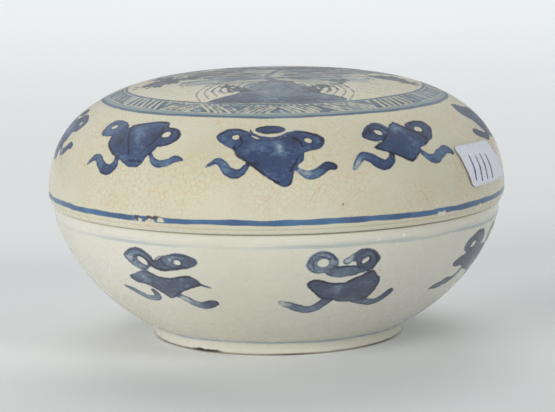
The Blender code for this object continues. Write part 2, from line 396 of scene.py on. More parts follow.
BOOK = [
    ("stroke", [(-6.2, -4.4, .9, .45), (-7.2, -7, 1.3, .5), (-9.6, -8.6, 1.7, .7), (-12, -7.8, 1.9, .75),
        (-14.4, -5.8, 1.7, .65), (-17, -4.8, 1.5, .35), (-19.4, -7, 1.2, .12), (-20.8, -9.2, .7, 0)]),
    ("stroke", [(5.4, -5, .9, .55), (7.8, -7.6, 1.3, .5), (10.4, -8.6, 1.7, .6), (13.6, -7, 1.7, .5),
        (17, -5.8, 1.5, .55), (19.8, -7.4, .8, .7)]),
    ("fill", .68, [(-14.9, 3.6), (-12.8, 6.2), (-10.4, 8), (-6.9, 8.9), (-3.6, 7), (-3.4, 3.6), (-9, .4),
        (-12.5, 1), (-14.6, 2.3)]),
    ("fill", .6, [(5, 5.6), (8.4, 7.4), (12.3, 7.6), (15.6, 6.4), (16.7, 3.4), (15, .8), (12.8, -1.4),
        (8, -1)]),
    ("fill", .68, [(1, 8.6), (.2, 8), (-1.4, 7.4), (-2.8, 5.6), (-4.8, 3.2), (-8.2, .2), (-12.2, -2),
        (-8, -4.1), (-4.2, -6), (-1.8, -7.3), (.6, -8.6), (3.2, -7), (4.9, -5.8), (5.9, -3.9), (9.6, -2.9),
        (12.1, -.6), (9.2, 2), (6, 4.2), (3.6, 6.4)]),
    ("bare", oval(-8, 4.1, 1.6, .95, -32)),
    ("bare", oval(9.9, 3.6, 1.7, 1.1, -8)),
    ("shade", -.25, (1, 5.2, 2.4, 2, -35)),
    ("shade", .25, (-.6, 1.6, 2.6, 1.6, -30)),
    ("shade", -.15, (4.6, -.6, 2.2, 2.2, 0)),
    ("shade", .3, (-11.4, 4.2, 2.2, 1.4, 20)),
    ("shade", .25, (12.6, .6, 2, 1.6, 0)),
    ("draw", [(1, 8), (-1.6, 6.6), (-4.6, 3), (-8.2, .2), (-11.4, -1.9)]),
    ("draw", [(-11, -2.2), (-4.2, -5.6), (.6, -8.1), (4.4, -5.8)]),
    ("draw", [(1.6, 7.6), (5.6, 4), (9, 1.6), (11.4, -.6)]),
    ("draw", [(-13.8, 3.4), (-11.6, 5.8), (-8.6, 7.6), (-5.6, 6.8), (-4.2, 4.4)]),
    ("draw", [(-11.4, 4.4), (-9.6, 5.6), (-7, 5.4)]),
    ("draw", [(6.8, 5.6), (9.6, 6.8), (13, 6.6), (15.4, 4.6), (15, 1.8)]),
    ("draw", [(9.2, 1.4), (10.4, -1.2), (8.8, -2.8)]),
]
SCROLL = [
    ("stroke", [(-3.5, -3, 1.2, .8), (-7, -3.2, 1.5, .8), (-11, -1.6, 1.5, .85), (-14.5, -.4, 1.6, .85),
        (-17, .2, .7, .8)]),
    ("stroke", [(5, -4, .9, .4), (9, -6.5, 1.4, .5), (13, -6.2, 1.5, .6), (17, -4.5, .9, .7)]),
    ("fill", .85, [(-11.4, 12.8), (-9, 13.6), (-5, 12.4), (-1, 10.4), (5, 9), (9, 6.5), (10, 2), (6, -3),
        (1, -5), (-3, -2.6), (-6.1, 0), (-7.5, 2.8), (-9.4, 4.8), (-12.2, 7), (-13.2, 9.6)]),
    ("shade", -.3, (0, 4, 3.4, 2.4, -40)),
    ("draw", [(-10.4, 11.6), (-6.6, 9.2), (-3, 7.6), (2, 7), (6.6, 5)]),
    ("draw", [(-10.8, 8), (-6.4, 5.4), (-3.4, 2), (-.4, -1.4)]),
]
DISH = [
    ("stroke", [(-6.4, -3.4, .8, .5), (-5.4, -5.4, 1, .4), (-6.4, -6.8, 1, .4), (-9.8, -7.2, 1, .4),
        (-13.5, -6, .95, .45), (-16.6, -4.3, .9, .5), (-20.4, -3, .4, .4)]),
    ("stroke", [(4, -4.2, .9, 0), (6.8, -5.9, 1.1, .15), (9.4, -7.8, 1.2, .3), (12.4, -8.7, 1.3, .5),
        (15.4, -7.8, 1.4, .75), (17.8, -7, 1, .75)]),
    ("stroke", [(12, 3, .35, .1), (15, 1.2, .4, .1), (17.6, .4, .2, 0)]),
    ("fill", .34, [(-13.4, 11.4), (-10.2, 14.2), (-6.8, 15), (-3.7, 14), (-1.3, 11.6), (-2.6, 8.3),
        (-6.4, 5.9), (-9.5, 6.9), (-12.1, 9)]),
    ("fill", .5, [(-.6, 10.6), (4.2, 13), (8.1, 14.1), (11.8, 13.6), (14.4, 12.1), (14.8, 10.4), (13, 8.9),
        (9.3, 7.8), (6.6, 7.2), (1.8, 6.3), (-1.8, 7.2), (-3.2, 9), (-1.8, 10.2)]),
    ("fill", .56, [(-14.5, 2.6), (-10.5, 4.4), (-6.6, 6.1), (-3.7, 5.1), (-.8, 3.8), (2.9, 3.5), (7.4, 4.7),
        (10.3, 5.3), (12.6, 4.3), (14.5, 1.6), (12.2, .3), (7.3, -1.8), (4.1, -4.2), (.2, -6.3),
        (-1.6, -4.9), (-4.2, -2.8), (-7.4, -.6), (-11.9, -.2), (-14.1, 1)]),
    ("bare", oval(-5.7, 9.9, 2.2, 1, -38)),
    ("bare", oval(7.6, 10.4, 1.2, .9)),
    ("bare", oval(4.9, 11.3, .8, .5)),
    ("shade", -.35, (-11.2, 11, 1.6, 2.2, 30)),
    ("shade", .35, (12.6, 2.8, 2, 1.8, 0)),
    ("shade", -.2, (-8.6, 2.4, 3, 1.6, -10)),
    ("shade", .3, (-.6, 9.2, 2, 1.6, 0)),
    ("shade", .3, (13, 11.4, 2, 1.6, 0)),
    ("draw", [(-12.2, 11.4), (-9.6, 13.4), (-6.8, 14.1), (-4, 13), (-2, 10.8)]),
    ("draw", [(-9.4, 9.6), (-8.4, 11.6), (-5.8, 12), (-3.4, 10.2), (-2.6, 8.6)]),
    ("draw", [(-1.2, 10.2), (1.4, 12.2), (2.2, 9.6), (4.4, 8.4), (7.4, 8.2)]),
    ("draw", [(1, 11.8), (5, 13), (8.4, 13.4), (12, 12.6)]),
    ("draw", [(-2.6, 8.2), (1.8, 6.9), (6.4, 7.8), (10, 8.6)]),
    ("draw", [(-5, 5.4), (-1, 3.6), (3, 3.3), (7.6, 4.4), (11.2, 4.8)]),
    ("draw", [(-13.4, 2.4), (-9.6, .4), (-5.6, -1.4), (-2.6, -3.6), (0, -5.6)]),
    ("draw", [(13.2, 1.6), (9, -.6), (5.4, -2.6), (3.2, -4.2)]),
]
BASKET = [
    ("stroke", [(-4, -4.6, 1.3, .6), (-6.6, -7.4, 1.3, .5), (-9, -9.6, 1.4, .42), (-12, -10.4, 1.4, .36),
        (-15.6, -9.3, 1.4, .4), (-18.8, -7.6, 1.2, .25), (-21.4, -6.4, .9, 0)]),
    ("stroke", [(5.4, -6.4, 1.2, .15), (10.6, -8.4, 1.2, .35), (13.4, -8.8, 1.1, .45),
        (16.2, -7.6, 1.1, .5), (19.3, -4.4, 1.1, .7)]),
    ("stroke", [(-.6, 10.8, .9, 0), (2, 12.2, 1.1, .15), (4.4, 13.8, 1.1, .3)]),
    ("fill", .3, [(-13.6, 10.4), (-12.2, 13.6), (-9.5, 15.4), (-6.9, 15.2), (-4.2, 13.2), (-3, 10.2),
        (-5.6, 7.2), (-10.1, 6.5), (-13, 8.4)]),
    ("fill", .66, [(2.4, 13.4), (5.1, 15.2), (8.2, 14.8), (10.4, 12.5), (11.2, 10.8), (10.2, 8.6),
        (8.5, 6.5), (6.2, 7.1), (3.2, 8.6)]),
    ("fill", .45, [(-7, 8.6), (-3.5, 9.2), (.2, 9.3), (3.8, 9), (8.8, 7.8), (8.2, 6.6), (3.8, 5.2),
        (-.7, 4.4), (-4.2, 4.7), (-7.2, 6.3)]),
    ("fill", .74, [(-13, 2.3), (-10.9, 4.2), (-7.7, 3.5), (-4.2, 2.3), (-.7, 2.1), (2, 3.1), (4.6, 4.4),
        (7.3, 5.7), (9.6, 6.6), (11.5, 4.2), (13.1, 1.4), (12.5, -2.1), (11.4, -5), (9.6, -6.9), (5, -7.3),
        (-.5, -7.2), (-3.5, -5.6), (-7.2, -5), (-9.8, -2.6), (-12.2, .2)]),
    ("bare", oval(-8.1, 10.7, 1.9, 1.5)),
    ("bare", oval(5.8, 10.9, 1.6, .9, 35)),
    ("shade", .25, (-8, 1.2, 2.8, 3.2, 0)),
    ("shade", -.3, (-2, -1, 1.2, 4, 0)),
    ("shade", -.15, (6, 1.2, 3.6, 3, 0)),
    ("shade", .25, (9.6, 11.6, 2, 2.4, 0)),
    ("shade", -.3, (2, -6.4, 3.2, 1.2, 0)),
    ("draw", [(-12.6, 10.6), (-11.4, 13.4), (-8.9, 14.6), (-6.2, 14.2), (-4, 11.8)]),
    ("draw", [(-10.8, 8.2), (-11.4, 10.4), (-10.4, 12.4), (-8, 13), (-5.8, 12)]),
    ("draw", [(-5.6, 8.2), (-2, 8.7), (2.6, 8.5), (6.4, 7.7)]),
    ("draw", [(-12.2, 2.4), (-10.6, 3.7), (-8, 3), (-4.2, 1.8), (-.7, 1.6), (2.2, 2.6), (5, 4), (9, 5.7)]),
    ("draw", [(-12.4, 1.2), (-9.8, -2), (-6.8, -4.6), (-3, -5.4)]),
    ("draw", [(12.4, 3.2), (12.6, -.6), (11.2, -4.6), (8.2, -6.4)]),
    ("draw", [(3.6, 13.4), (6.2, 14.4), (8.8, 13), (10, 10.6), (8.8, 8)]),
    ("draw", [(4.2, 9.6), (5, 11.4), (7.4, 12.2), (7.6, 10)]),
]
POUCH = [
    ("stroke", [(-5, -1.6, .8, .5), (-7.2, -4.2, .9, .6), (-9.8, -5.5, 1, .6), (-13.7, -5.8, 1.4, .6),
        (-15.8, -6.7, 1.2, .5), (-18.6, -7, 1, .5), (-21.6, -7.6, .5, .2)]),
    ("stroke", [(7, -4.8, 1, .3), (11, -7.2, 1.2, .4), (15, -7.6, 1.2, .5), (18.6, -5.6, 1.1, .6)]),
    ("fill", .66, [(-3.1, 14.2), (.5, 13.4), (3.3, 10.6), (3, 7.6), (-2, 5.2), (-7.7, 5.4), (-11.9, 8),
        (-11.4, 10.6), (-7.2, 13.2)]),
    ("fill", .5, [(8, 10.8), (11, 14), (15, 14), (18, 11), (17, 7.4), (12.6, 6), (9, 7.6)]),
    ("fill", .75, [(-15.2, 2.4), (-13.4, 4.2), (-9, 5.6), (-3, 6), (3, 6.8), (8, 7), (12, 4.8), (13.4, 1.4),
        (11, -2.6), (4, -4), (-3, -2.2), (-7.6, .2), (-12.4, .6)]),
    ("bare", oval(-5.5, 8.7, 1.7, 1.1, 25)),
    ("bare", oval(13.4, 10, 1.8, 1.3)),
    ("shade", .3, (-10.6, 2.4, 3, 1.8, 0)),
    ("shade", -.25, (1.6, .6, 2, 3.4, 0)),
    ("draw", [(-10.6, 9.6), (-6.8, 12.4), (-2.8, 13.2), (1.2, 12)]),
    ("draw", [(-8.2, 7.4), (-4.2, 6.6), (-.2, 8.6), (.6, 10.6)]),
    ("draw", [(-14.2, 2.4), (-9, 4), (-3, 4.6), (3, 5.4)]),
    ("draw", [(9.2, 11), (12, 13), (15.4, 12.6)]),
]


RIBBON_WIDTH = {"lid": 1.08, "box": 1.4}  # how much wider the brush is than the tables say
# Where the emblems stand: which, turn in degrees, mm up from the seam, tilt, size, and 1 or -1 for mirrored.
LID_EMBLEMS = [
    (JAR, -91.8, 26.8, 0, 1, 1), (PEAR, -131.2, 31.6, 0, 1, 1), (BOOK, -54.4, 31.0, 0, 1, 1),
    (JAR, -173.4, 26.4, 6, .93, 1), (SCROLL, -9.0, 28.5, 0, 1, 1), (PEAR, 42.6, 31.0, -3, .96, -1),
    (BOOK, 90.0, 31.0, -4, 1, -1), (JAR, 137.0, 28.6, 4, .97, 1)]
BOX_EMBLEMS = [
    (DISH, -121.6, -20.6, 0, 1, 1), (BASKET, -72.4, -20.6, 0, 1, 1), (POUCH, -23.8, -20.0, 0, 1, 1),
    (DISH, 27.0, -20.5, -3, 1, -1), (BASKET, 76.0, -20.8, 2, .97, -1), (POUCH, 126.0, -20.2, 3, 1, -1),
    (BASKET, 176.0, -20.6, -3, 1, 1)]


def paint_emblem(painting, turn, up, radius, emblem, middle_turn, middle_up, tilt, size, flip):
    """Paints an emblem round the box, from the turns and the distances along the outline of all vertices."""
    across = (np.degrees(turn) - middle_turn + 180) % 360 - 180
    across = np.radians(across) * radius * flip / size
    painting.x, painting.y = turned(across, (up - middle_up) / size, tilt)
    for name, *values in emblem:
        getattr(painting, name)(*values)


# ---------------------------------------------------------------- the medallion on top of the lid
RING_OUTER = 61.6  # the blue circle round the medallion, as a radius
HATCH_OUTER = 59.3
HATCH_INNER = 54.2
RING_INNER = 53.3
CHANCE = np.random.default_rng(7)

# The pattern between the circles: kinds of patch with the turns where they start and end, on both halves.
BORDER = [("wash", -181, -153), ("comb", -151, -132), ("left", -131, -117), ("right", -117, -103),
          ("left", -103, -89), ("right", -89, -74), ("fine", -74, -55), ("comb", -54, -36), ("wash", -35, -3)]
# For each kind: the turn from stroke to stroke, their slant, half width and tone, and its wash's tone.
BORDER_KINDS = {"wash": (4.4, 3, .3, .5, .12), "comb": (2.7, .6, .44, .7, 0), "left": (2.1, -5.5, .27, .6, 0),
                "right": (2.1, 5.5, .27, .6, 0), "fine": (1.9, 8, .22, .5, 0)}

# The picture, in mm to the right and away from the axis: its washes, hills, tree, foliage, flowers and rock.
MIST = [(15, -10, 11, 13, .1), (27, -18, 7, 4, .02), (22, 4, 12, 9, .1), (15, -33, 10, 9, .12),
        (12, 16, 12, 7, .08), (30, 28, 11, 8, .05), (10, 34, 11, 6, .06)]  # place, two half sizes and tone
HILLS = [(.3, [(-30, 30), (-22, 37), (-14, 33), (-8, 40), (0, 44), (9, 39), (14, 42), (24, 35), (33, 27),
               (20, 27), (4, 29), (-14, 27)]),
         (.35, [(-46, 12), (-40, 20), (-33, 17), (-28, 23), (-24, 20), (-30, 10), (-38, 7)]),
         (.3, [(46, 12), (41, 19), (35, 16), (29, 22), (25, 18), (31, 9), (39, 6)])]
LIMBS = [
    [(1, -26, 2.2, .5), (-2, -18, 1.4, .5), (-3, -11, 1.1, .45), (-1.5, -3, 1, .5), (0, 4, 1, .5),
     (2, 12, .9, .5), (1, 20, .7, .4)],
    [(-2, -17, 1.1, .6), (-9, -14, 1, .55), (-17, -15, .9, .5), (-27, -11, .7, .5), (-36, -12, .5, .4)],
    [(-2, -16, 1.1, .6), (8, -12, 1, .55), (17, -15, .9, .5), (28, -9, .7, .5), (37, -7, .5, .4)],
    [(-1, -3, 1, .6), (-9, 1, .9, .5), (-18, 2, .7, .5), (-26, 5, .5, .4)],
    [(0, 2, 1, .6), (10, 4, .9, .5), (19, 3, .7, .5), (28, 6, .5, .4)],
    [(2, 12, .8, .5), (-6, 17, .7, .4), (-13, 22, .5, .4)],
    [(2, 12, .8, .5), (11, 17, .7, .4), (18, 22, .5, .4)]]
TUFTS = [(-41, -9, 9, 6), (-23, 1, 6.5, 9), (-31, -6, 6, 5), (41, -5, 9, 6), (22, 3, 5.5, 8), (22, -23, 4, 3),
         (8, -8, 4.5, 3.6), (15, -12, 4, 3.4), (-10, -27, 4.5, 3.2), (5, 16, 12, 5), (-14, 20, 6, 4.5),
         (22, 19, 6, 4.5), (-40, 2, 5, 4), (32, 8, 5, 4), (-12, -6, 4, 4)]  # place and two half sizes
BLOSSOMS = [(-31, -20), (-16, -11), (-33, -2), (-15, 10), (6, -3), (33, -13), (19, -8), (31, 1), (13, 9),
            (-4, 10), (9, 23), (-5, 26), (-22, 14), (24, 14), (20, -29), (-19, -24)]
ROCK = [(-23.5, -47.6), (-20, -45), (-14, -42), (-9.6, -37.4), (-7, -31), (-5, -25.5), (-1, -23), (3, -22.5),
        (6, -25.5), (8, -31), (11.6, -37.4), (16, -41.6), (22, -43.6), (24.4, -46.4), (17, -50.2), (8, -52),
        (0, -52.5), (-8, -52.1), (-16, -50.6)]
CREASES = [[(-2, -27), (-4, -33), (-6, -39), (-11, -44)], [(3, -27), (4, -33), (7, -39), (12, -43.5)],
           [(-19, -47.5), (-10, -49.5), (0, -50), (10, -49.5), (20, -47)]]


def at_turn(radius, turn):
    """A point of the medallion from its radius and its turn in degrees."""
    return radius * math.cos(math.radians(turn)), radius * math.sin(math.radians(turn))


def paint_border(painting):
    """Patches of strokes and washes between the two circles."""
    for half in (0, 180):
        for kind, start, end in BORDER:
            step, slant, half_width, tone, wash = BORDER_KINDS[kind]
            turns = np.linspace(start, end, 9) + half
            painting.fill(wash, [at_turn(HATCH_INNER, turn) for turn in turns]
                          + [at_turn(HATCH_OUTER, turn) for turn in turns[::-1]])
            middles = np.arange(start + step / 2, end, step) + half
            middles += CHANCE.normal(0, 0.25, len(middles))
            leans = slant + CHANCE.normal(0, 0.5, len(middles))
            if kind != "wash":
                for middle, lean in zip(middles[1:] - step / 2, leans[1:]):
                    painting.spare([at_turn(HATCH_INNER + .5, middle - lean / 2),
                                    at_turn(HATCH_OUTER - .4, middle + lean / 2)], step * 0.2)
            for middle, lean in zip(middles, leans):
                wide = half_width * CHANCE.uniform(0.8, 1.2)
                painting.stroke([(*at_turn(HATCH_INNER - .1, middle - lean / 2), wide, tone),
                                 (*at_turn(HATCH_OUTER - .2, middle + lean / 2), wide, tone)])


def leaf(painting, at, heading, length, half_width, tone):
    """One press of the brush: a pointed dab from its stalk outward."""
    painting.stroke([(at[0] + math.cos(heading) * length * share, at[1] + math.sin(heading) * length * share,
                      half_width * width, tone) for share, width in ((0, .35), (.35, 1), (.7, .85), (1, .2))])


def rough_oval(x, y, rx, ry, count=9):
    """An uneven patch of wash."""
    return [(x + rx * math.cos(a) * CHANCE.uniform(.75, 1.1), y + ry * math.sin(a) * CHANCE.uniform(.75, 1.1))
            for a in np.linspace(0, 2 * math.pi, count, endpoint=False)]


def tuft(painting, x, y, rx, ry):
    """A clump of foliage: a wash with many dabs over it."""
    patch = rough_oval(x, y, rx * .92, ry * .92)
    painting.fill(CHANCE.uniform(.55, .75), patch)
    for _ in range(int(rx * ry * .62)):
        heading, reach = CHANCE.uniform(0, 2 * math.pi), math.sqrt(CHANCE.uniform(.02, 1))
        foot = (x + rx * reach * math.cos(heading), y + ry * reach * math.sin(heading))
        leaf(painting, foot, heading + CHANCE.normal(0, .6), CHANCE.uniform(2, 3.8),
             CHANCE.uniform(.5, .85), CHANCE.uniform(.8, 1.35))


def blossom(painting, x, y, size):
    """A five-petalled flower in outline, with a dark heart."""
    for petal in range(5):
        heading = 2 * math.pi * (petal + 0.3) / 5
        ring = oval(x + size * 0.62 * math.cos(heading), y + size * 0.62 * math.sin(heading),
                    size * 0.42, size * 0.42, count=8)
        painting.bare(ring)
        painting.draw(ring + ring[:1], 0.3)
    painting.fill(0.9, oval(x, y, 0.6, 0.6))


def cloud(painting, x, y, size, flip):
    """A scroll of cloud: two rising curls and a trailing line."""
    for shift, share in ((0, 1), (1.1, 0.75)):
        path = []
        for step in range(9):
            angle, reach = math.pi * (1 - step * 0.2), size * share * (1 - step * 0.085)
            path.append((x + flip * (shift * size + reach * math.cos(angle)), y + reach * math.sin(angle)))
        painting.draw(path, 0.36)
    painting.draw([(x + flip * size * k, y - size * .35 * math.sin(k * 1.3))
                   for k in (-1.6, -.8, 0, .9, 1.8, 2.6)], 0.34)


def paint_mist(painting):
    """Level strokes of mist across the middle distance: broad ones, then fine ones."""
    for _ in range(60):
        left, level, length = CHANCE.uniform(-34, 20), CHANCE.uniform(-28, 12), CHANCE.uniform(8, 16)
        wide, tone = CHANCE.uniform(0.4, 0.8), CHANCE.uniform(0.25, 0.6)
        painting.stroke([(left, level, wide * .4, tone), (left + length / 2, level + .6, wide, tone),
                         (left + length, level, wide * .4, tone)])
    for _ in range(90):
        left, level, length = CHANCE.uniform(-36, 26), CHANCE.uniform(-26, 40), CHANCE.uniform(6, 15)
        painting.draw([(left, level), (left + length / 2, level + CHANCE.normal(0, .8)),
                       (left + length, level + CHANCE.normal(0, .8))], 0.26)


def paint_bank(painting, side):
    """The bank and the bands of mist at one side of the rock, -1 for the left."""
    for band in range(6):
        near = 25.5 - 2.8 * band
        curve = [(side * near, -46 + 1.6 * band), (side * (near + 1.6), -38 + band),
                 (side * (near - 1), -30 + .7 * band), (side * (near - 6), -24 - .3 * band),
                 (side * (near - 12), -20.5 - 1.1 * band)]
        painting.spare([(x - side * 1.1, y - .5) for x, y in curve], 0.75)
        painting.draw(curve, 0.34)
    for row in range(5):
        reach = 12 + 5 * row
        streak = [(side * (reach - 8), -14 + 6 * row), (side * reach, -12.6 + 6 * row),
                  (side * (reach + 9), -13.6 + 5.6 * row)]
        painting.spare([(x, y + 1.3) for x, y in streak], 0.8)
        painting.draw(streak, 0.3)
    tuft(painting, side * 12.5, -37, 3.2, 3.2)
    tuft(painting, side * 16, -31, 2.6, 2)
    for row in range(5):
        level, far = -36 + 3.6 * row, side * (37 + 1.6 * row)
        painting.draw([(side * (27 + row), level), (side * 33, level + .7), (far, level)], 0.2)
    cloud(painting, side * 22, 33, 3.4, side)


def paint_medallion(painting, turn, radius):
    """A rock with a flowering tree, drifting mist and far hills, seen with the rock nearest the front."""
    painting.x, painting.y = radius * np.cos(turn), radius * np.sin(turn)
    for side in (-1, 1):
        for x, y, rx, ry, tone in MIST:
            painting.fill(tone, rough_oval(side * x, y, rx, ry))
    for tone, hill in HILLS:
        painting.fill(tone, hill)
        painting.draw(hill[:len(hill) * 2 // 3])
    for limb in LIMBS:
        painting.stroke(limb)
    for place in TUFTS:
        tuft(painting, *place)
    for place in BLOSSOMS:
        blossom(painting, *place, 2.4)
    paint_mist(painting)
    for side in (-1, 1):
        paint_bank(painting, side)
    cloud(painting, -2, 48, 3.2, 1)
    painting.fill(.5, ROCK)
    for change, spot in ((-.1, (1, -29, 5, 5, 0)), (.15, (-14, -47, 7, 3, 0)), (.12, (14, -47, 7, 3, 0))):
        painting.shade(change, spot)
    for crease in CREASES:
        painting.draw(crease, 0.35)
    # Nothing but the glaze between the picture and its frame.
    beyond = np.clip(radius - (RING_INNER - 0.7), -FAR, FAR)
    painting.paint = np.maximum(painting.paint, beyond)
    painting.line = np.maximum(painting.line, beyond)
    paint_border(painting)


# ---------------------------------------------------------------- materials
class Nodes:
    """A small helper to write the node tree of a material or a world as expressions."""

    def __init__(self, owner):
        owner.use_nodes = True
        self.owner, self.tree = owner, owner.node_tree
        self.shader = self.tree.nodes.get("Principled BSDF") or self.tree.nodes["Background"]

    def add(self, kind, **settings):
        node = self.tree.nodes.new("ShaderNode" + kind)
        for key, value in settings.items():
            setattr(node, key, value)
        return node

    def put(self, socket, value):
        """Links a socket, or sets its value. Colours are given without their alpha."""
        if isinstance(value, bpy.types.NodeSocket):
            self.tree.links.new(value, socket)
        else:
            socket.default_value = (*value, 1) if socket.type == "RGBA" else value

    def fed(self, kind, *values, **settings):
        """A node with its first sockets filled in."""
        node = self.add(kind, **settings)
        for socket, value in zip(node.inputs, values):
            self.put(socket, value)
        return node.outputs[0]

    def plus(self, first, second):
        return self.fed("Math", first, second, operation="ADD")

    def times(self, first, second):
        return self.fed("Math", first, second, operation="MULTIPLY")

    def larger(self, first, second):
        return self.fed("Math", first, second, operation="MAXIMUM")

    def size(self, value):
        """The value without its sign."""
        return self.fed("Math", value, operation="ABSOLUTE")

    def ramp(self, value, start, end, low=0.0, high=1.0):
        """low where value is at start, high where it is at end, smooth between and level outside."""
        return self.fed("MapRange", value, start, end, low, high, interpolation_type="SMOOTHSTEP")

    def mix(self, share, first, second):
        node = self.add("Mix", data_type="RGBA")
        for slot, value in ((0, share), (6, first), (7, second)):
            self.put(node.inputs[slot], value)
        return node.outputs[2]

    def place(self):
        return self.add("TexCoord").outputs["Object"]

    def noise(self, per_metre, detail=2.0, roughness=0.5, stretch=None):
        place = self.place()
        if stretch:
            place = self.fed("VectorMath", place, stretch, operation="MULTIPLY")
        node = self.add("TexNoise")
        values = {"Vector": place, "Scale": per_metre, "Detail": detail, "Roughness": roughness}
        for name, value in values.items():
            self.put(node.inputs[name], value)
        return node.outputs["Fac"]

    def patches(self, per_metre, detail, start, end, low=0.0, high=1.0):
        return self.ramp(self.noise(per_metre, detail), start, end, low, high)

    def cracks(self, per_metre):
        """The distance to the nearest crack of a net, in cells."""
        wander = self.add("TexNoise")
        self.put(wander.inputs["Vector"], self.place())
        self.put(wander.inputs["Scale"], 160.0)
        sway = (0.0016, 0.0016, 0.0016)  # metres
        place = self.fed("VectorMath", wander.outputs["Color"], sway, self.place(), operation="MULTIPLY_ADD")
        node = self.add("TexVoronoi", feature="DISTANCE_TO_EDGE")
        self.put(node.inputs["Vector"], place)
        self.put(node.inputs["Scale"], per_metre)
        return node.outputs["Distance"]

    def stored(self, name):
        return self.add("Attribute", attribute_name=name).outputs["Fac"]

    def split(self, vector):
        node = self.add("SeparateXYZ")
        self.put(node.inputs[0], vector)
        return node.outputs

    def cylinder(self):
        """The turn (radians), radius and height (mm) of the point being shaded."""
        x, y, z = self.split(self.place())
        radius = self.fed("Math", self.plus(self.times(x, x), self.times(y, y)), operation="SQRT")
        return self.fed("Math", y, x, operation="ARCTAN2"), self.times(radius, 1 / MM), self.times(z, 1 / MM)

    def bump(self, height, distance):
        node = self.add("Bump")
        self.put(node.inputs["Height"], height)
        node.inputs["Distance"].default_value = distance
        self.tree.links.new(node.outputs[0], self.shader.inputs["Normal"])

    def finish(self, colour, roughness, ior=1.5):
        self.put(self.shader.inputs["Base Color"], colour)
        self.put(self.shader.inputs["Roughness"], roughness)
        self.shader.inputs["IOR"].default_value = ior
        return self.owner


# Glaze colours are pairs that drift into each other.
LID_GLAZE = (0.545, 0.520, 0.395), (0.585, 0.565, 0.445)
LID_SPECKLE = (0.56, 0.48, 0.33)
LID_CRACKLE = (0.56, 0.38, 0.17)
LIP_GLAZE = (0.60, 0.585, 0.49)
BOX_GLAZE = (0.590, 0.572, 0.478), (0.636, 0.618, 0.540)
BOX_CRACKLE = (0.44, 0.37, 0.26)
INSIDE_GLAZE = (0.58, 0.57, 0.48), (0.64, 0.63, 0.55)
BARE_CLAY = (0.62, 0.54, 0.41), (0.70, 0.64, 0.52)
# The lid's chips, and the near-white spots on the box's rim, which are mostly painted highlights.
LID_CHIP, BOX_CHIP_AND_GLINT = (0.64, 0.61, 0.51), (0.80, 0.80, 0.74)
LID_STAIN, BOX_STAIN = (0.070, 0.058, 0.042), (0.42, 0.27, 0.12)
# The foot's dark bottom edge is partly grime and partly painted contact shade.
GRIME_AND_CONTACT_SHADE, BURNT_CLAY = (0.085, 0.066, 0.048), (0.020, 0.016, 0.013)
# Pigment from a thin wash to a full brush: on the lid, greyer on the box, and greyest on the lid's top.
LID_COBALT = (0.20, 0.28, 0.33), (0.078, 0.135, 0.232), (0.032, 0.054, 0.128), (0.012, 0.015, 0.032)
BOX_COBALT = (0.21, 0.275, 0.315), (0.115, 0.155, 0.220), (0.056, 0.071, 0.120), (0.021, 0.026, 0.050)
TOP_COBALT = (0.26, 0.315, 0.330), (0.128, 0.172, 0.212), (0.056, 0.074, 0.117), (0.020, 0.024, 0.037)
BAND_BLUE = (0.048, 0.134, 0.268), (0.028, 0.076, 0.180)
RING_BLUE = (0.046, 0.096, 0.165)
RING_WASH = (0.150, 0.225, 0.250)
RIM_LINE_BLUE = (0.17, 0.25, 0.33)
FOOT_LINE_BLUE = (0.19, 0.285, 0.40)


def hand_drawn(nodes, distance, half_width, seed):
    """How much pigment a drawn circle holds, from the signed distance to its centre line in mm."""
    sway = nodes.noise(45.0, 2.0, stretch=(1, 1, seed))
    half = nodes.patches(110.0, 1.0, 0.3, 0.7, half_width * 0.85, half_width * 1.12)
    off = nodes.plus(distance, nodes.ramp(sway, 0.2, 0.8, -0.3, 0.3))
    return nodes.ramp(nodes.fed("Math", nodes.size(off), half, operation="SUBTRACT"), 0.2, -0.2)


def cobalt(nodes, glaze, colours):
    """The painting over the glaze: washes and full strokes, with pigment pooled along their edges."""
    wash, pale, mid, dark = colours
    wobble = nodes.patches(420.0, 3.0, 0.25, 0.75, -0.16, 0.16)
    paint = nodes.plus(nodes.stored("paint"), wobble)
    line = nodes.plus(nodes.stored("line"), nodes.times(wobble, 0.8))
    covered = nodes.ramp(paint, 0.22, -0.22)
    drawn = nodes.ramp(line, 0.2, -0.22)
    rim = nodes.ramp(nodes.size(nodes.plus(paint, 0.42)), 0.5, 0.0)
    fine = nodes.noise(480.0, 4.0, 0.65, stretch=(1, 1, 1.7))
    broad = nodes.noise(105.0, 2.0)
    load = nodes.plus(nodes.stored("tone"), nodes.ramp(fine, 0.25, 0.75, -0.2, 0.2))
    load = nodes.plus(load, nodes.ramp(broad, 0.3, 0.7, -0.14, 0.14))
    load = nodes.plus(load, nodes.times(rim, nodes.ramp(broad, 0.35, 0.6, 0.12, 0.42)))
    load = nodes.plus(load, nodes.times(drawn, 0.55))
    colour = nodes.mix(nodes.ramp(load, -0.05, 0.4), wash, pale)
    colour = nodes.mix(nodes.ramp(load, 0.35, 0.75), colour, mid)
    colour = nodes.mix(nodes.ramp(load, 0.8, 1.3), colour, dark)
    strength = nodes.larger(nodes.times(covered, nodes.ramp(load, -0.25, 0.35, 0.4, 0.97)),
                            nodes.times(drawn, 0.85))
    return nodes.mix(strength, glaze, colour)


def stains(nodes, colour, stain_colour, strength):
    """Small specks where the stored distance to them is below zero."""
    distance = nodes.plus(nodes.stored("stain"), nodes.patches(900.0, 2.0, 0.2, 0.8, -0.3, 0.3))
    return nodes.mix(nodes.times(nodes.ramp(distance, 0.18, -0.25), strength), colour, stain_colour)


def ring_zone(nodes, radius, inner, outer):
    """One between two radii, in mm."""
    half = (outer - inner) / 2
    return nodes.ramp(nodes.size(nodes.plus(radius, -(inner + outer) / 2)), half + 0.15, half - 0.15)


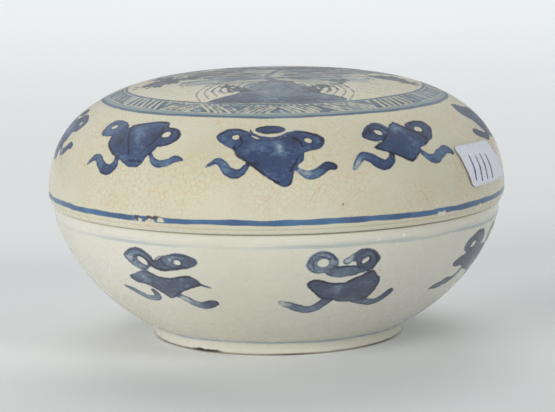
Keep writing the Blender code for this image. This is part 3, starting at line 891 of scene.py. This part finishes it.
def lid_outside_material():
    nodes = Nodes(bpy.data.materials.new("lid_glaze"))
    _, radius, height = nodes.cylinder()
    glaze = nodes.mix(nodes.patches(28.0, 3.0, 0.3, 0.7), *LID_GLAZE)
    glaze = nodes.mix(nodes.ramp(nodes.noise(240.0, 3.0, 0.6), 0.45, 0.8, 0, 0.3), glaze, LID_SPECKLE)
    edge = nodes.cracks(560.0)
    stained = nodes.patches(48.0, 2.0, 0.3, 0.62, 0.1, 0.62)
    glaze = nodes.mix(nodes.times(nodes.ramp(edge, 0.085, 0.0), stained), glaze, LID_CRACKLE)
    glaze = nodes.mix(nodes.ramp(height, 50.3, 49.3, 0.0, 0.7), glaze, LIP_GLAZE)
    picture = nodes.ramp(radius, RING_OUTER + 0.9, RING_OUTER + 0.1)
    pigments = [nodes.mix(picture, side, top) for side, top in zip(LID_COBALT, TOP_COBALT)]
    colour = cobalt(nodes, glaze, pigments)

    band = hand_drawn(nodes, nodes.plus(height, -BAND_HEIGHT), 0.98, 1.0)
    worn = nodes.plus(nodes.stored("wear"), nodes.patches(800.0, 2.0, 0.25, 0.75, -0.4, 0.4))
    band = nodes.times(band, nodes.ramp(worn, -0.1, 0.2))
    tone = nodes.ramp(nodes.noise(90.0, 3.0, stretch=(1, 1, 0.2)), 0.3, 0.7)
    colour = nodes.mix(nodes.times(band, 0.96), colour, nodes.mix(tone, *BAND_BLUE))
    wash = nodes.times(ring_zone(nodes, radius, HATCH_OUTER + 0.2, RING_OUTER), 0.85)
    ground = nodes.times(ring_zone(nodes, radius, RING_INNER, HATCH_OUTER), 0.24)
    middle = nodes.times(nodes.ramp(radius, 44.0, 20.0), nodes.patches(60.0, 3.0, 0.35, 0.7, 0.0, 0.35))
    colour = nodes.mix(nodes.larger(nodes.larger(wash, ground), middle), colour, RING_WASH)
    outer = hand_drawn(nodes, nodes.plus(radius, -RING_OUTER), 0.6, 3.0)
    inner = hand_drawn(nodes, nodes.plus(radius, -RING_INNER), 0.5, 5.0)
    colour = nodes.mix(nodes.times(nodes.larger(outer, inner), 0.9), colour, RING_BLUE)

    colour = nodes.mix(nodes.ramp(nodes.stored("chip_and_glint"), 0.1, -0.15), colour, LID_CHIP)
    colour = stains(nodes, colour, LID_STAIN, 0.88)
    nodes.bump(nodes.plus(nodes.times(nodes.noise(190.0, 2.0), 0.6),
                          nodes.times(nodes.ramp(edge, 0.0, 0.09), 0.25)), 0.00003)
    return nodes.finish(colour, nodes.patches(120.0, 3.0, 0.3, 0.7, 0.2, 0.32))


def bowl_outside_material():
    nodes = Nodes(bpy.data.materials.new("body_glaze"))
    turn, _, height = nodes.cylinder()
    glaze = nodes.mix(nodes.patches(24.0, 3.0, 0.3, 0.7), *BOX_GLAZE)
    stained = nodes.patches(45.0, 2.0, 0.45, 0.75, 0.0, 0.12)
    glaze = nodes.mix(nodes.times(nodes.ramp(nodes.cracks(420.0), 0.07, 0.0), stained), glaze, BOX_CRACKLE)
    colour = cobalt(nodes, glaze, BOX_COBALT)
    fade = nodes.ramp(nodes.noise(14.0, 1.0, stretch=(1, 1, 0.1)), 0.35, 0.62, 0.12, 0.5)
    for line_height, half_width, seed, share in ((44.0, 0.6, 2.0, 1.0), (45.3, 0.35, 7.0, 0.3)):
        line = hand_drawn(nodes, nodes.plus(height, -line_height), half_width, seed)
        colour = nodes.mix(nodes.times(nodes.times(line, fade), share), colour, RIM_LINE_BLUE)
    foot = hand_drawn(nodes, nodes.plus(height, -FOOT_JOIN - 0.1), 0.55, 4.0)
    foot = nodes.times(foot, nodes.patches(70.0, 2.0, 0.3, 0.6, 0.35, 0.7))
    colour = nodes.mix(foot, colour, FOOT_LINE_BLUE)
    # Pale spots on the rim, mostly painted highlights: glints of a lamp.
    colour = nodes.mix(nodes.ramp(nodes.stored("chip_and_glint"), 0.1, -0.15), colour, BOX_CHIP_AND_GLINT)
    colour = stains(nodes, colour, BOX_STAIN, 0.6)
    # Grime and painted contact shade at the bottom of the foot, and a dark patch of bare burnt clay on its
    # edge.
    grime_and_shade = nodes.times(nodes.ramp(height, 1.0, 0.45), nodes.patches(45.0, 3.0, 0.38, 0.58, 0.45, 1.0))
    colour = nodes.mix(nodes.times(grime_and_shade, 0.9), colour, GRIME_AND_CONTACT_SHADE)
    aside = nodes.ramp(nodes.size(nodes.plus(turn, math.radians(124))), 0.17, 0.08)
    burnt = nodes.times(aside, nodes.ramp(nodes.plus(height, nodes.noise(300.0)), 1.9, 1.4))
    colour = nodes.mix(burnt, colour, BURNT_CLAY)
    rings = nodes.noise(1.0, 1.0, 0.5, stretch=(4, 4, 300))
    nodes.bump(nodes.plus(nodes.noise(110.0, 1.0), nodes.times(rings, 0.12)), 0.00002)
    return nodes.finish(colour, nodes.patches(120.0, 3.0, 0.3, 0.7, 0.22, 0.34))


def inside_material():
    nodes = Nodes(bpy.data.materials.new("inside_glaze"))
    glaze = nodes.mix(nodes.patches(22.0, 3.0, 0.3, 0.7), *INSIDE_GLAZE)
    stained = nodes.patches(40.0, 2.0, 0.45, 0.7, 0.0, 0.3)
    cracked = nodes.times(nodes.ramp(nodes.cracks(300.0), 0.06, 0.0), stained)
    glaze = nodes.mix(cracked, glaze, (0.40, 0.33, 0.22))
    specks = nodes.patches(1100.0, 1.0, 0.76, 0.82)
    glaze = nodes.mix(nodes.times(specks, 0.5), glaze, (0.22, 0.15, 0.09))
    nodes.bump(nodes.noise(1.0, 3.0, 0.6, stretch=(30, 30, 300)), 0.00012)
    return nodes.finish(glaze, 0.26)


def biscuit_material():
    nodes = Nodes(bpy.data.materials.new("bare_biscuit"))
    clay = nodes.mix(nodes.ramp(nodes.noise(90.0, 4.0, 0.6), 0.3, 0.7), *BARE_CLAY)
    clay = nodes.mix(nodes.patches(180.0, 3.0, 0.6, 0.8, 0, 0.6), clay, (0.40, 0.26, 0.14))
    height = nodes.cylinder()[2]
    # Dirt and painted contact shade, darker towards the bottom of the foot where it meets the floor.
    dirt_and_contact_shade = nodes.times(nodes.ramp(height, 1.0, 0.3), nodes.patches(45.0, 3.0, 0.35, 0.6, 0.5, 0.9))
    clay = nodes.mix(dirt_and_contact_shade, clay, (0.09, 0.068, 0.048))
    nodes.bump(nodes.noise(2200.0, 3.0), 0.00006)
    return nodes.finish(clay, 0.8)


# ---------------------------------------------------------------- the pieces
def spots(turn, up, radius, places):
    """Signed distance to the nearest of some round spots (turn in degrees, mm up, size, stretch sideways)."""
    distance = np.full(len(turn), FAR)
    for middle, height, size, stretch in places:
        across = np.radians((np.degrees(turn) - middle + 180) % 360 - 180) * radius / stretch
        distance = np.minimum(distance, np.hypot(across, up - height) - size)
    return np.clip(distance, -FAR, FAR)


LIP_CHIPS = [(-47.0, 3.3, 0.75, 2.4), (-31.2, 2.6, 1.1, 1.8), (-121.0, 4.9, 0.9, 4.6), (71.0, 2.0, 1.1, 1.6),
             (162.0, 2.4, 0.9, 1.3)]
BAND_WEAR = [(-124.4, 3.9, .6, 2.6), (-121.2, 3.9, .7, 2.6), (-118.4, 4.6, 1, 1.2), (-47, 3.5, .8, 2.4),
             (-31.2, 3, .9, 1.6), (30, 4.2, .9, 2), (118, 4.6, 1, 3)]
LID_STAINS = [(-74.4, 10.2, .45, 1), (-125, 5.1, .75, 1.7), (-122.9, 4.6, .5, 1.2), (-121.6, 5.3, .8, 1.7),
              (-119.7, 5.2, .85, 1.6), (-118.4, 5.8, .5, 1.2), (-60, 24, .4, 1), (-31.4, 3.9, .35, 1.6),
              (22, 14, .5, 1), (104, 19, .6, 1), (-178, 9, .4, 1)]
# Pale spots on the box's rim: the first two are painted highlights, glints of a lamp.
RIM_GLINTS_AND_CHIPS = [(-64.7, -2.3, .4, 1.6), (-57.8, -2.1, .5, 1.8), (40, -1, .5, 2)]
BOX_STAINS = [(-63, -14.8, .5, 1), (-112, -31, .4, 1), (14, -9, .5, 1), (95, -33, .6, 1), (150, -7, .4, 1)]
PAINTED = 768  # columns of the finely meshed parts
HIDDEN = 500.0  # mm, keeps the inside out of reach of the brush


def make_lid(outside, inside, biscuit):
    """The lid: a dome finely meshed where it is painted, its lip, and the plain inside."""
    picture_edge = RING_OUTER + 1.5
    side = np.vstack([DOME[DOME[:, 0] > picture_edge], LID_TUCK[1:]])
    painted = side[side[:, 1] > 57.5]
    plain = np.vstack([painted[-1:], side[(side[:, 1] <= 57.5) & (side[:, 1] > 51.6)]])
    lip = np.vstack([plain[-1:], side[side[:, 1] <= 51.6]])
    inner = superellipse(LID_INNER, LID_WAIST, TOP - LID_WALL, DOME_POWERS)[::-1]
    inner_lip = (LID_INNER + LIP_ROUNDING, SEAM + GAP)
    rings = rings_of([
        (DOME[DOME[:, 0] <= picture_edge], 0.62, PAINTED, 0.37, OUTSIDE),
        (painted, 0.72, PAINTED, 0.37, OUTSIDE),
        (plain, 1.0, PAINTED, 0.37, OUTSIDE),
        (lip, 0.28, PAINTED, 0.37, OUTSIDE),
        (LID_LIP_ROUND, 0.35, PAINTED, 0.37, OUTSIDE),
        ([LID_LIP_ROUND[-1], inner_lip], 0.8, 384, 0.37, BARE),
        (arc((inner_lip[0], LIP_HEIGHT), LIP_ROUNDING, -90, -180), 0.4, 384, 0.37, BARE),
        (np.vstack([[(LID_INNER, LIP_HEIGHT)], inner]), 2.4, 192, 2.0, INSIDE),
    ])
    along = lengths(LID_OUTLINE)

    def climb(height):
        """The distance up from the seam along the outline."""
        return np.interp(-height, -LID_OUTLINE[:, 1], along[-1] - along) + LIP_LENGTH

    def shape(turn, radius, height, zone):
        """A slightly uneven hand-finished dome, and the small chips in the lip."""
        share = np.clip((height - SEAM) / (TOP - SEAM), 0, 1)
        sway = 0.10 * np.sin(2 * turn + 0.6) + 0.05 * np.sin(3 * turn + 2.0) + 0.03 * np.sin(7 * turn)
        sway *= np.sin(math.pi * share) * np.clip(radius / 30, 0, 1)
        dent = np.clip(-spots(turn, climb(height), BAND_RADIUS, LIP_CHIPS), 0, 0.45) * (height < 60)
        groove = 0.28 * np.exp(-((height - LIP_GROOVE) / 0.3) ** 2)
        return radius + (sway - dent * 0.6 - groove) * (zone == OUTSIDE)

    piece, turn, radius, height, zone = lathe("porcelain_lid", rings, [outside, inside, biscuit], shape)
    up = climb(height)
    painting = Painting(len(turn))
    painting.brush = RIBBON_WIDTH["lid"]
    for emblem, *placing in LID_EMBLEMS:
        middle_radius = BAND_RADIUS * (0.925 if emblem is JAR else 0.9)
        paint_emblem(painting, turn, up + HIDDEN * (zone != OUTSIDE), middle_radius, emblem, *placing)
    top = np.flatnonzero((zone == OUTSIDE) & (radius < RING_OUTER + 0.5))
    picture = Painting(len(top))
    paint_medallion(picture, turn[top], radius[top])
    for field in ("paint", "line", "tone"):
        getattr(painting, field)[top] = getattr(picture, field)
    painting.store(piece)
    glazed_chips = [chip_and_glint for chip_and_glint in LIP_CHIPS if chip_and_glint[1] < 4]
    for name, places in (("chip_and_glint", glazed_chips), ("wear", BAND_WEAR), ("stain", LID_STAINS)):
        give(piece, name, spots(turn, up, BAND_RADIUS, places))
    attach(piece, "lid")
    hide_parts("lid")


def make_bowl(outside, inside, biscuit):
    """The box: the painted side, the foot ring and its recess, the seat, the flange and the plain inside."""
    cup = superellipse(BOWL_INNER, BOWL_SHOULDER, BOWL_FLOOR, (5.2, 1.6))
    flange = arc((74.15, FLANGE_TOP - FLANGE_ROUNDING), FLANGE_ROUNDING, 180, 0, 9)
    painted = BOWL_SIDE[BOWL_SIDE[:, 1] > 17]
    plain = np.vstack([painted[-1:], BOWL_SIDE[BOWL_SIDE[:, 1] <= 17]])
    neck = smooth([BOWL_SIDE[-1], (46.3, 4.0), (45.5, 2.4), (45.1, 1.0), (44.9, 0.45)])
    foot_inner = smooth([(41.3, 0.0), (40.8, 0.2), (40.6, 0.8)])
    recess = smooth([(40.6, 0.8), (40.2, 3.0), (39.9, 4.9), (38.8, 6.0), (34.0, 6.2), (20.0, 6.1), (0, 6)])
    seat, rim = (76.1, SEAM), BOWL_RADIUS - 1.1
    rings = rings_of([
        (np.vstack([cup, flange[:1]]), 2.2, 192, 2.0, INSIDE),
        (flange, 0.45, 384, 0.5, BARE),
        ([flange[-1], (75.7, SEAM + 0.4), seat], 0.7, 384, 0.5, BARE),
        ([seat, (rim, SEAM)], 0.8, 384, 0.5, BARE),
        (arc((rim, SEAM - 1.0), 1.0, 90, 10), 0.3, PAINTED, 0.5, OUTSIDE),
        (np.vstack([[(BOWL_RADIUS - .1, SEAM - 0.95)], painted]), 0.72, PAINTED, 0.5, OUTSIDE),
        (plain, 1.2, 384, 0.5, OUTSIDE),
        (neck, 0.5, 384, 0.5, OUTSIDE),
        (smooth([neck[-1], (44.6, 0.08), (44.2, 0.0)]), 0.3, 384, 0.5, BARE),
        ([(44.2, 0.0), foot_inner[0]], 0.8, 384, 0.5, BARE),
        (foot_inner, 0.4, 384, 0.5, BARE),
        (recess, 1.6, 192, 1.5, INSIDE),
    ])

    def shape(turn, radius, height, zone):
        """A little out of round, with soft throwing ridges below the rim."""
        share = np.clip((SEAM - height) / SEAM, 0, 1)
        sway = (0.10 * np.sin(2 * turn + 1.9) + 0.05 * np.sin(3 * turn)) * np.sin(math.pi * share)
        ridges = (0.012 * np.sin(height * 1.9) + 0.02 * np.sin(height * 0.9 + 1)) * np.clip(share * 8, 0, 1)
        return radius + (sway + ridges) * (zone == OUTSIDE)

    piece, turn, _, height, zone = lathe("porcelain_box", rings, [outside, inside, biscuit], shape)
    up = -np.interp(-height, -BOWL_OUTLINE[:, 1], lengths(BOWL_OUTLINE))
    painting = Painting(len(turn))
    painting.brush = RIBBON_WIDTH["box"]
    for placing in BOX_EMBLEMS:
        paint_emblem(painting, turn, up - HIDDEN * (zone != OUTSIDE), BOWL_RADIUS * 0.921, *placing)
    painting.store(piece)
    # The rim's pale spots, mostly painted highlights.
    give(piece, "chip_and_glint", spots(turn, up, BOWL_RADIUS, RIM_GLINTS_AND_CHIPS))
    give(piece, "stain", spots(turn, up, BOWL_RADIUS * .94, BOX_STAINS))
    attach(piece, "box")
    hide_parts("box_body")


# ---------------------------------------------------------------- the paper label
LABEL_SIZE = (26.2, 14.8)
# Its corners on the dome, from the top right to the left: turn in degrees, and distance up from the seam.
LABEL_CORNERS = [(-20.0, 24.6), (-38.2, 25.4), (-34.8, 10.3), (-15.2, 9.9)]
LABEL_CORNER = 1.8
LABEL_LIFT = 0.22  # of its underside from the glaze
LABEL_THICKNESS = 0.14
# The pen mark is a row of slanting tally strokes: how far across and up each one starts and ends.
TALLY = [(-9.4, -5.2, -7.2, 3.4), (-5.6, -5.9, -2.9, 2.6), (-1.2, -5.6, 1.2, 3.0), (3.2, -6.0, 5.2, 2.4)]


def label_material():
    nodes = Nodes(bpy.data.materials.new("label_paper"))
    fibre = nodes.noise(1500.0, 4.0, 0.7)
    paper = nodes.mix(nodes.ramp(fibre, 0.3, 0.7), (0.66, 0.68, 0.76), (0.74, 0.755, 0.82))
    rim = nodes.plus(nodes.stored("rim"), nodes.patches(300.0, 2.0, 0.2, 0.8, -0.6, 0.6))
    paper = nodes.mix(nodes.ramp(rim, 1.0, 0.0, 0.0, 0.35), paper, (0.52, 0.50, 0.46))
    pen = nodes.plus(nodes.stored("pen"), nodes.patches(1800.0, 2.0, 0.2, 0.8, -0.12, 0.12))
    paper = nodes.mix(nodes.times(nodes.ramp(pen, 0.1, -0.1), 0.88), paper, (0.048, 0.030, 0.155))
    nodes.bump(fibre, 0.00003)
    return nodes.finish(paper, 0.62, 1.4)


def make_label(material):
    """A small paper label with rounded corners, pressed onto the dome and lifting a little at its edges."""
    half_width, half_height = LABEL_SIZE[0] / 2, LABEL_SIZE[1] / 2
    outline = np.vstack([arc((sx * (half_width - LABEL_CORNER), sy * (half_height - LABEL_CORNER)),
                             LABEL_CORNER, start, start + 90, 8)
                         for sx, sy, start in ((1, 1, 0), (-1, 1, 90), (-1, -1, 180), (1, -1, 270))])
    outline = evenly(np.vstack([outline, outline[:1]]), 0.5)[:-1]
    count, layers = len(outline), 30
    flat = np.vstack([outline * (1 - k / layers) for k in range(layers)] + [[(0.0, 0.0)]])
    size = len(flat)
    rim = np.minimum(half_width - np.abs(flat[:, 0]), half_height - np.abs(flat[:, 1]))

    # Its place on the dome, and the way out from there.
    along = lengths(LID_OUTLINE)
    right, upper = 0.5 + flat[:, 0] / LABEL_SIZE[0], 0.5 + flat[:, 1] / LABEL_SIZE[1]
    shares = (right * upper, (1 - right) * upper, (1 - right) * (1 - upper), right * (1 - upper))
    turn, up = (sum(share * corner[k] for share, corner in zip(shares, LABEL_CORNERS)) for k in (0, 1))
    turn = np.radians(turn)
    at = along[-1] + LIP_LENGTH - up
    radius, height = (np.interp(at, along, LID_OUTLINE[:, k]) for k in (0, 1))
    slope = [np.interp(at, along, np.gradient(LID_OUTLINE[:, k], along)) for k in (0, 1)]
    outward = np.column_stack([-slope[1] * np.cos(turn), -slope[1] * np.sin(turn), slope[0]])
    outward /= np.linalg.norm(outward, axis=1)[:, None]
    base = np.column_stack([radius * np.cos(turn), radius * np.sin(turn), height])
    curl = 0.32 * np.clip(1 - rim / 3.0, 0, 1) ** 2
    curl += np.clip((right - 0.5) * 2, 0, 1) ** 2 * (0.3 + 0.9 * (1 - upper))
    curl += LABEL_LIFT + 0.05 * np.sin(flat[:, 0] * 1.1) * np.cos(flat[:, 1] * .9)

    faces = []
    for layer in range(layers):
        for k in range(count):
            a, b = layer * count + k, layer * count + (k + 1) % count
            faces.append([b, a, size - 1] if layer == layers - 1 else [b, a, a + count, b + count])
    faces += [[v + size for v in face[::-1]] for face in faces]
    faces += [[k, (k + 1) % count, size + (k + 1) % count, size + k] for k in range(count)]
    points = [base + outward * (curl + thickness)[:, None] for thickness in (0, LABEL_THICKNESS)]
    piece = add_piece("lot_label", np.vstack(points), faces, [material])
    piece.data.set_sharp_from_angle(angle=math.radians(50))
    ink = np.full(size, FAR)
    for across, up, across_end, up_end in TALLY:
        bend = ((across + across_end) / 2 + 0.5, (up + up_end) / 2)
        stroke = np.array([(across, up, 0.42), (*bend, 0.5), (across_end, up_end, 0.34)])
        ink = np.minimum(ink, path_distance(flat[:, 0], flat[:, 1], stroke)[0])
    give(piece, "pen", np.concatenate([np.full(size, FAR), ink]))
    give(piece, "rim", np.concatenate([rim, rim]))
    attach(piece, "lid")
    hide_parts("paper_label")


# ---------------------------------------------------------------- floor, light and camera
FLOOR_SIZE = 9.0  # metres from the middle to an edge
# Painted shade and light: the floor is darker in front of the box and lighter far back.
SHADED_FLOOR_COLOURS = (0.645, 0.66, 0.66), (0.75, 0.765, 0.765)  # in front of the box, and farther back
FAR_FLOOR_LIGHTER = (0.83, 0.855, 0.875)
# Colours of the painted light that clears the box's shadow from the floor, and of the painted shadow.
PAINTED_LIGHT, PAINTED_SHADOW = (0.92, 0.93, 0.935), (0.60, 0.615, 0.615)
# Painted light and a painted shadow beside the foot: place, outer and inner reach in metres, share and
# colour.
FLOOR_LIGHT_AND_SHADOW_PATCHES = [((-0.045, -0.022, 0), 0.075, 0.015, 0.85, PAINTED_LIGHT), ((0.01, -0.07, 0), 0.06, 0.01, 0.35, PAINTED_LIGHT),
                 ((0.15, 0.02, 0), 0.11, 0.02, 0.95, PAINTED_SHADOW)]
SKY_COLOUR = (0.965, 1.0, 1.03)
LAMP_COLOUR = (1.0, 1.0, 0.985)
# Lamps: name, turn and rise in degrees, distance and size in metres, power, and the height they point at. The
# background's lamp points straight down.
LAMPS = [("key", -130, 12, 2.2, 1.4, 47.0, 0.05), ("side", -36, 26, 2.2, 0.8, 15.0, 0.05),
         ("background", 90, 48, 2.6, 1.8, 27.5, None)]


def make_floor():
    """A wide pale floor with painted shade, a little darker in front of the box, and soft patches of painted
    light and painted shadow beside it.
    """
    nodes = Nodes(bpy.data.materials.new("studio_floor"))
    _, radius, _ = nodes.cylinder()
    ahead = nodes.split(nodes.place())[1]
    # Painted shade in front of the box.
    colour = nodes.mix(nodes.ramp(ahead, -0.15, -0.03), *SHADED_FLOOR_COLOURS)
    # Patches of painted light and painted shadow.
    for place, reach, core, share, painted_light_shade in FLOOR_LIGHT_AND_SHADOW_PATCHES:
        beside = nodes.add("VectorMath", operation="DISTANCE")
        nodes.put(beside.inputs[0], nodes.place())
        nodes.put(beside.inputs[1], place)
        colour = nodes.mix(nodes.ramp(beside.outputs["Value"], reach, core, 0.0, share), colour, painted_light_shade)
    # Painted light: the floor grows lighter far from the box.
    colour = nodes.mix(nodes.ramp(radius, 250.0, 1500.0), colour, FAR_FLOOR_LIGHTER)
    corners = np.array([(-1, -1, 0), (1, -1, 0), (1, 1, 0), (-1, 1, 0)]) * FLOOR_SIZE / MM
    floor = add_piece("floor", corners, [(0, 1, 2, 3)], [nodes.finish(colour, 0.9)])


def make_light():
    """A large soft light at the left, a smaller one at the right, a lit background, and a sky."""
    world = bpy.data.worlds.new("studio")
    bpy.context.scene.world = world
    sky = Nodes(world)
    _, behind, above = sky.split(sky.add("TexCoord").outputs["Generated"])
    sky.put(sky.shader.inputs["Color"], SKY_COLOUR)
    sky.put(sky.shader.inputs["Strength"], sky.times(sky.ramp(behind, -0.2, 0.5, 0.17, 0.66),
                                                     sky.ramp(above, 0.05, 0.5, 0.62, 1.15)))
    for name, turn, rise, distance, size, power, aim in LAMPS:
        turn, rise = math.radians(turn), math.radians(rise)
        level = math.cos(rise)
        place = Vector((level * math.cos(turn), level * math.sin(turn), math.sin(rise))) * distance
        lamp = bpy.data.lights.new(name, "AREA")
        lamp.shape = "SQUARE"
        lamp.size = size
        lamp.energy = power
        lamp.color = LAMP_COLOUR
        light = bpy.data.objects.new(name, lamp)
        light.location = place
        light.visible_glossy = False
        if aim is not None:
            light.rotation_euler = (Vector((0, 0, aim)) - place).to_track_quat("-Z", "Y").to_euler()
        bpy.context.scene.collection.objects.link(light)


def make_camera():
    """Eleven radii from the box, looking 9 degrees down, with a slight roll."""
    radius = BAND_RADIUS * MM
    camera = bpy.data.cameras.new("camera")
    camera.sensor_width = 36.0
    camera.lens = 163.8
    viewer = bpy.data.objects.new("camera", camera)
    place = Matrix.Translation((0.0032 * radius, -11 * radius, 2.323 * radius))
    tip = Matrix.Rotation(math.pi / 2 - 0.1595, 4, "X")
    roll = Matrix.Rotation(-0.0145, 4, "Z")
    viewer.matrix_world = place @ tip @ roll
    bpy.context.scene.collection.objects.link(viewer)
    bpy.context.scene.camera = viewer


inside_glaze, biscuit = inside_material(), biscuit_material()
make_lid(lid_outside_material(), inside_glaze, biscuit)
make_bowl(bowl_outside_material(), inside_glaze, biscuit)
make_label(label_material())
make_floor()
make_light()
make_camera()
bpy.context.scene.view_settings.view_transform = "Standard"
